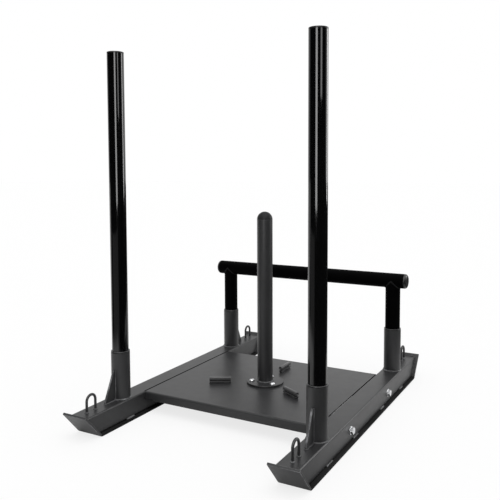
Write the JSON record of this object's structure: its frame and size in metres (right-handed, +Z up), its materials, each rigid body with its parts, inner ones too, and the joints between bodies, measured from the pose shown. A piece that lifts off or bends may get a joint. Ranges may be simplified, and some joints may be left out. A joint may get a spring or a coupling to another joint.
{
  "type": "push sled",
  "caption": "Low push sled on two steel ski runners, with a central weight post, tow eyes, tall push poles and a low push bar that lift out of sockets.",
  "frame": {"origin": "on the floor under the middle of the sled, at the centre of the outline seen from above", "axes": "+X to the right runner, +Y along the runners to the end with the low push bar, +Z up"},
  "size_m": [0.75, 1.06, 1.108],
  "materials": {
    "frame_paint": "satin dark grey powder coat",
    "gloss_black_paint": "smooth gloss black",
    "matt_black_paint": "fine matt black",
    "black_plastic": "moulded, satin",
    "zinc_steel": "bright zinc plated"
  },
  "bodies": {
    "frame": {"left_ski_plate": "frame_paint", "right_ski_plate": "frame_paint", "left_runner_tube": "frame_paint", "right_runner_tube": "frame_paint", "front_left_socket": "frame_paint", "front_left_gusset": "frame_paint", "front_left_socket_bush": "black_plastic", "front_left_tow_eye": "frame_paint", "front_left_frame_washer": "zinc_steel", "front_left_frame_bolt": "zinc_steel", "front_left_frame_nut": "zinc_steel", "front_left_cross_tube_end_plate": "frame_paint", "front_right_socket": "frame_paint", "front_right_gusset": "frame_paint", "front_right_socket_bush": "black_plastic", "front_right_tow_eye": "frame_paint", "front_right_frame_washer": "zinc_steel", "front_right_frame_bolt": "zinc_steel", "front_right_frame_nut": "zinc_steel", "front_right_cross_tube_end_plate": "frame_paint", "rear_left_socket": "frame_paint", "rear_left_gusset": "frame_paint", "rear_left_socket_bush": "black_plastic", "rear_left_tow_eye": "frame_paint", "rear_left_frame_washer": "zinc_steel", "rear_left_frame_bolt": "zinc_steel", "rear_left_frame_nut": "zinc_steel", "rear_left_cross_tube_end_plate": "frame_paint", "rear_right_socket": "frame_paint", "rear_right_gusset": "frame_paint", "rear_right_socket_bush": "black_plastic", "rear_right_tow_eye": "frame_paint", "rear_right_frame_washer": "zinc_steel", "rear_right_frame_bolt": "zinc_steel", "rear_right_frame_nut": "zinc_steel", "rear_right_cross_tube_end_plate": "frame_paint", "deck_plate": "frame_paint", "front_cross_tube": "frame_paint", "rear_cross_tube": "frame_paint", "weight_post": "frame_paint", "weight_post_cap": "frame_paint", "weight_post_flange": "frame_paint", "rear_post_bolt": "zinc_steel", "left_post_bolt": "zinc_steel", "right_post_bolt": "zinc_steel", "rear_post_nut": "zinc_steel", "left_post_nut": "zinc_steel", "right_post_nut": "zinc_steel", "rear_plate_rest": "frame_paint", "left_plate_rest": "frame_paint", "right_plate_rest": "frame_paint"},
    "left_pole": {"left_tall_pole": "gloss_black_paint", "left_tall_pole_cap": "black_plastic"},
    "right_pole": {"right_tall_pole": "gloss_black_paint", "right_tall_pole_cap": "black_plastic"},
    "push_bar": {"push_bar_cross_tube": "matt_black_paint", "push_bar_left_upright": "matt_black_paint", "push_bar_right_upright": "matt_black_paint", "push_bar_left_cap": "black_plastic", "push_bar_right_cap": "black_plastic"}
  },
  "joints": [
    {"name": "left_pole_lift", "type": "slide", "parent": "frame", "child": "left_pole", "axis": [0, 0, 1], "range_m": [0, 0.15]},
    {"name": "right_pole_lift", "type": "slide", "parent": "frame", "child": "right_pole", "axis": [0, 0, 1], "range_m": [0, 0.15]},
    {"name": "push_bar_lift", "type": "slide", "parent": "frame", "child": "push_bar", "axis": [0, 0, 1], "range_m": [0, 0.15]}
  ]
}
